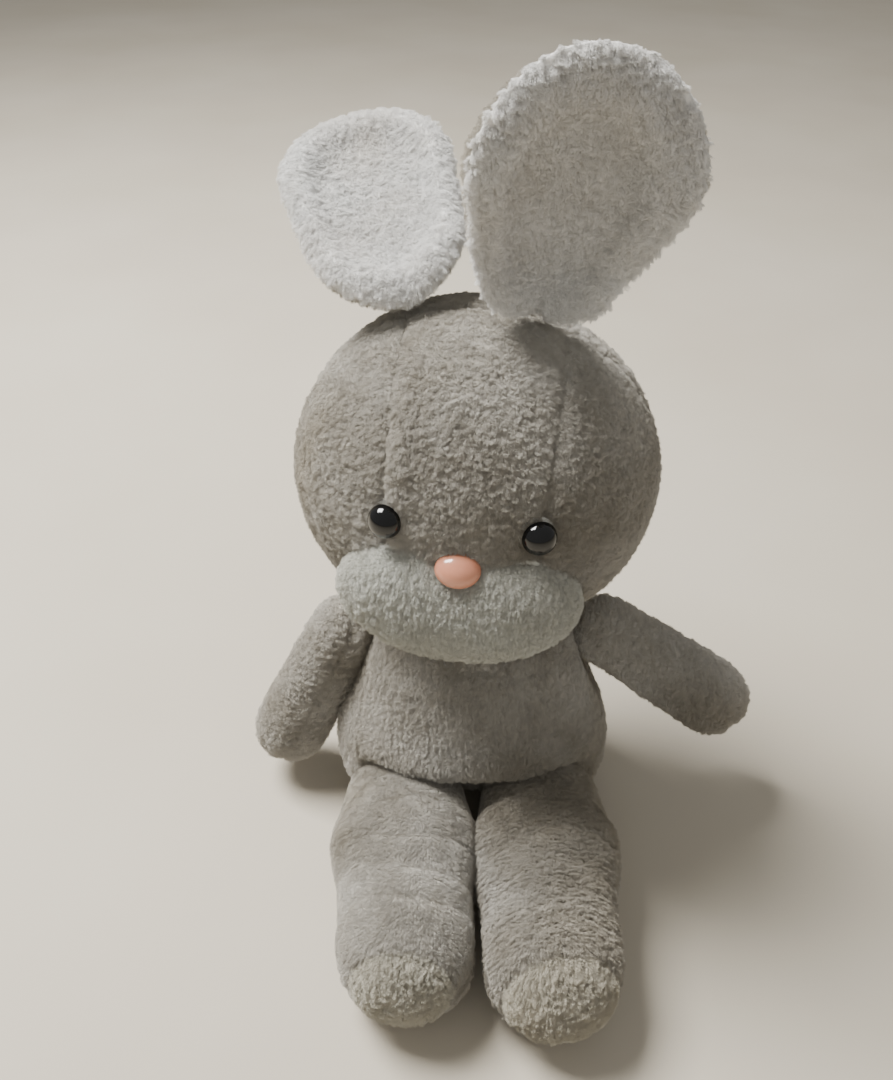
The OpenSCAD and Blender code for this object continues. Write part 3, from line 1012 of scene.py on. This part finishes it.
def make_leg(side):
    placing = leg_frame(side)
    sign = SIDES[side]
    across = Vector((sign * TOE_TURN, math.sin(TOE_TILT), math.cos(TOE_TILT))).normalized()

    def region(points):
        beyond = (local(points, placing) - np.array(TOE_PLANE)) @ np.array(across) > 0
        return np.where(beyond, 2, np.where(points[:, 2] > LEG_SEAM_Z, 0, 1))

    def shape(points, normals):
        q = local(points, placing)
        upper = np.clip(normals[:, 2] + 0.35, 0, 1)
        move = np.zeros(len(points))
        for place, depth, slant in LEG_FOLDS[side]:
            wave = FOLD_WAVE * np.sin(q[:, 0] / FOLD_SPAN + place)
            fold = q[:, 2] - place * MM - slant * FOLD_SLANT * q[:, 0] - wave
            move -= depth * MM * hill(fold, FOLD_WIDE) * upper
            move += 0.5 * depth * MM * hill(fold - ROLL_BEYOND, ROLL_WIDE) * upper
        return move

    leg = side + "_leg"
    panels = [leg + "_upper_panel", leg + "_under_panel", side + "_toe_cap"]
    form = soft_form(leg + "_form", panels + [leg + "_stuffing"], 4 * MM, 4)
    shrunk(form, PILE_DEPTH)
    q = local(points_of(form.data), placing)
    near_hip = np.clip((HIP_REACH - q[:, 2]) / HIP_FADE, 0, 1)
    near_hip = near_hip * near_hip * (3 - 2 * near_hip)
    inner = q[:, 0] * sign < 0
    q[:, 0] *= 1 + HIP_WIDER * near_hip * np.where(inner, HIP_INNER, 1.0)
    q[:, 1] += HIP_HIGHER * near_hip * (q[:, 1] > 0) * (q[:, 2] > 0)
    stretched(q, LEG_SCALE[side])
    set_points(form.data, world(q, placing))
    relaxed(form.data, 1)
    stuffed(form, region, SWELL)
    filling(leg + "_filling", form, FILL_DEPTH + SLACK, leg, [leg + "_stuffing"])
    turn = placing.to_3x3()
    planes = [(placing @ TOE_PLANE, turn @ across), (Vector((0, 0, LEG_SEAM_Z)), Vector((0, 0, 1)))]
    names = [(node, GREY, "grey_plush", PILE_LENGTH) for node in panels]
    names[2] = (panels[2], CREAM, "cream_plush", PILE_LENGTH)
    finished(form, leg, region, planes, names, shape, seed=110 + sign, lay=LEG_LAY)


# ---- ears ----

EAR_AROUND = 112
EAR_RINGS = 26
EAR_MIDDLE = 60 * MM        # the rings shrink towards this height
EAR_ROOT = 42 * MM          # the fold at the root fades out at this height
EAR_FOLD_SPAN = 18 * MM
EAR_THIN = 2.2 * MM         # half the thickness in the hollow
EAR_ROLL = 4.4 * MM         # how much thicker the roll inside the rim is
ROLL_AT = 0.82
ROLL_SPREAD = 0.13
EDGE_AT = 0.86              # the rim rounds off from here
EDGE_SPREAD = 0.14
HEM_DEPTH = 3.0 * MM        # how far the lining wraps round the rim


def ear_outline(side, inset):
    """Points round a wide top circle and a narrower base circle, joined by tangents."""
    top_r = EAR_W[side] / 2 - inset
    base_r = EAR_BASE_R[side] - inset
    top_z = EAR_LENGTH[side] - EAR_W[side] / 2
    tangent = math.asin((top_r - base_r) / (top_z - EAR_BASE_R[side]))
    angles = np.linspace(-tangent, math.pi + tangent, 60)
    top = np.stack([top_r * np.cos(angles), top_z + top_r * np.sin(angles)], 1)
    angles = np.linspace(math.pi + tangent, 2 * math.pi - tangent, 40)
    base = np.stack([base_r * np.cos(angles), EAR_BASE_R[side] + base_r * np.sin(angles)], 1)
    ring = np.vstack([top, base, top[:1]])
    steps = np.linalg.norm(np.diff(ring, axis=0), axis=1)
    run = np.concatenate([[0], np.cumsum(steps)])
    even = np.linspace(0, run[-1], EAR_AROUND + 1)[:-1]
    return np.stack([np.interp(even, run, ring[:, 0]), np.interp(even, run, ring[:, 1])], 1)


def ear_root(z):
    """1 at the ear's foot, falling to 0 where its fold fades out."""
    return np.clip(1 - z / EAR_ROOT, 0, 1) ** 1.5


def ear_sheet(x, z, side):
    """How far forward or back the middle of the cupped and folded ear lies."""
    cup = EAR_CUP[side]
    return np.sqrt(cup ** 2 - x ** 2) - cup - EAR_FOLD[side] * ear_root(z) * np.abs(x) / EAR_FOLD_SPAN


def ear_surface(share, front, side, outline):
    """One ring of an ear. share is 0 in the middle and 1 at the rim."""
    centre = np.array((0, EAR_MIDDLE))
    flat = centre + share * (outline - centre)
    x, z = flat[:, 0], flat[:, 1]
    x = x * (1 - EAR_PINCH[side] * ear_root(z))
    y = ear_sheet(x, z, side)
    slope = x / np.sqrt(EAR_CUP[side] ** 2 - x ** 2)
    length = np.sqrt(1 + slope ** 2)
    thick = EAR_THIN + EAR_ROLL * math.exp(-((share - ROLL_AT) / ROLL_SPREAD) ** 2)
    thick *= math.sqrt(max(0.0, 1 - max(0.0, (share - EDGE_AT) / EDGE_SPREAD) ** 2))
    way = -1 if front else 1
    return np.stack([x + way * thick * slope / length, y + way * thick / length, z], 1)


def make_ear(side):
    placing = ear_frame(side)
    outline = ear_outline(side, 0.8 * MM)
    shares = np.sin(np.linspace(0, math.pi / 2, EAR_RINGS))[1:]
    shares[-1] = 1.0
    rings = [(s, True) for s in shares] + [(s, False) for s in shares[::-1][1:]]
    points = [ear_surface(0.0, True, side, outline)[:1]]
    points += [ear_surface(share, front, side, outline) for share, front in rings]
    points.append(ear_surface(0.0, False, side, outline)[:1])
    points = np.vstack(points)
    n = EAR_AROUND
    faces = [(0, 1 + (i + 1) % n, 1 + i) for i in range(n)]
    for row in range(len(rings) - 1):
        for i in range(n):
            a = 1 + row * n + i
            b = 1 + row * n + (i + 1) % n
            faces.append((a, b, b + n, a + n))
    last = len(points) - 1
    start = 1 + (len(rings) - 1) * n
    faces += [(start + i, start + (i + 1) % n, last) for i in range(n)]
    mesh = bpy.data.meshes.new(side + "_ear_form")
    mesh.from_pydata(world(points, placing).tolist(), [], faces)
    form = new_object(side + "_ear_form", mesh)
    outward = bmesh.new()
    outward.from_mesh(mesh)
    bmesh.ops.recalc_face_normals(outward, faces=outward.faces[:])
    outward.to_mesh(mesh)
    outward.free()
    filling(side + "_ear_filling", form, FILL_DEPTH, side + "_ear", [side + "_ear_padding"])

    def hem(q):
        """How near the rim a point is, so that the lining wraps the edge but not the back."""
        across = q[:, 0] / (0.5 * EAR_W[side])
        along = (q[:, 2] - 0.53 * EAR_LENGTH[side]) / (0.5 * EAR_LENGTH[side])
        return np.clip((np.hypot(across, along) - 0.7) / 0.2, 0, 1)

    def region(centres):
        q = local(centres, placing)
        widest = 0.95 * EAR_CUP[side]
        sheet = ear_sheet(np.clip(q[:, 0], -widest, widest), q[:, 2], side)
        return np.where(q[:, 1] > sheet + HEM_DEPTH * hem(q), 1, 0)

    names = [
        (side + "_ear_lining", EAR_WHITE, "white_plush", 0.9 * PILE_LENGTH),
        (side + "_ear_back", GREY, "grey_plush", PILE_LENGTH),
    ]
    made = finished(form, side + "_ear", region, [], names, seed=130 + SIDES[side])
    # painted shade in the lining's hollow: a layer that is strongest in the middle and fades out towards
    # the rim, which the ear material mixes in as a darker beige
    lining = made[0].data
    q = local(points_of(lining), placing)
    across = q[:, 0] / (0.36 * EAR_W[side])
    along = (q[:, 2] - 0.55 * EAR_LENGTH[side]) / (0.34 * EAR_LENGTH[side])
    hollow = np.clip(1.25 - np.hypot(across, along), 0, 1) * EAR_BASIN_SHADE[side]
    tint = lining.attributes.new("basin_shade", "FLOAT", "POINT")
    tint.data.foreach_set("value", hollow.astype(np.float32))


# ---- carried-over CAD pieces ----

def cover_cad(obj, material):
    """Gives a CAD piece its material without touching its mesh."""
    for place in obj.material_slots:
        place.link = "OBJECT"
        place.material = material


def dress_cad():
    cover_cad(frame["nodes"]["closing_stitches"], THREAD)
    for node in ("nose_washer", "left_eye_washer", "right_eye_washer"):
        cover_cad(frame["nodes"][node], WASHER)


# ---- floor, light and camera ----

def area_light(name, at, size, power, colour, target):
    data = bpy.data.lights.new(name, "AREA")
    data.size = size
    data.energy = power
    data.color = colour
    light = bpy.data.objects.new(name, data)
    light.location = at
    light.rotation_euler = (Vector(target) - Vector(at)).to_track_quat("-Z", "Y").to_euler()
    bpy.context.scene.collection.objects.link(light)
    return light


def make_studio():
    bpy.ops.mesh.primitive_plane_add(size=12, location=(0, 2, 0))
    floor = bpy.context.object
    floor.name = "floor"
    floor.data.materials.append(floor_material())
    aim = (0, 0, 0.15)
    area_light("key", (-0.85, 0.35, 1.7), size=0.8, power=94, colour=(1.0, 0.985, 0.96), target=aim)
    fill = area_light("fill", (0.4, -1.4, 1.3), size=2.0, power=6, colour=(1.0, 0.98, 0.94), target=aim)
    fill.visible_glossy = False
    surround = bpy.data.worlds.new("studio")
    surround.use_nodes = True
    background = surround.node_tree.nodes["Background"]
    background.inputs["Color"].default_value = (0.97, 0.96, 0.93, 1)
    background.inputs["Strength"].default_value = 0.34
    bpy.context.scene.world = surround


CAMERA_AT = (-0.015, -0.421, 0.495)
CAMERA_DOWN = math.radians(38)
CAMERA_LENS = 32.67         # in mm, on a frame 36 mm wide


def make_camera():
    data = bpy.data.cameras.new("camera")
    data.lens = CAMERA_LENS
    data.sensor_width = 36
    data.clip_start = 0.01
    camera = bpy.data.objects.new("camera", data)
    camera.location = CAMERA_AT
    camera.rotation_euler = (math.pi / 2 - CAMERA_DOWN, 0, 0)
    bpy.context.scene.collection.objects.link(camera)
    bpy.context.scene.camera = camera


make_camera()
make_studio()
make_head()
make_muzzle()
make_face()
make_torso()
make_neck()
make_tail()
for name in SIDES:
    make_arm(name)
    make_shoulder(name)
    make_leg(name)
    make_ear(name)
dress_cad()
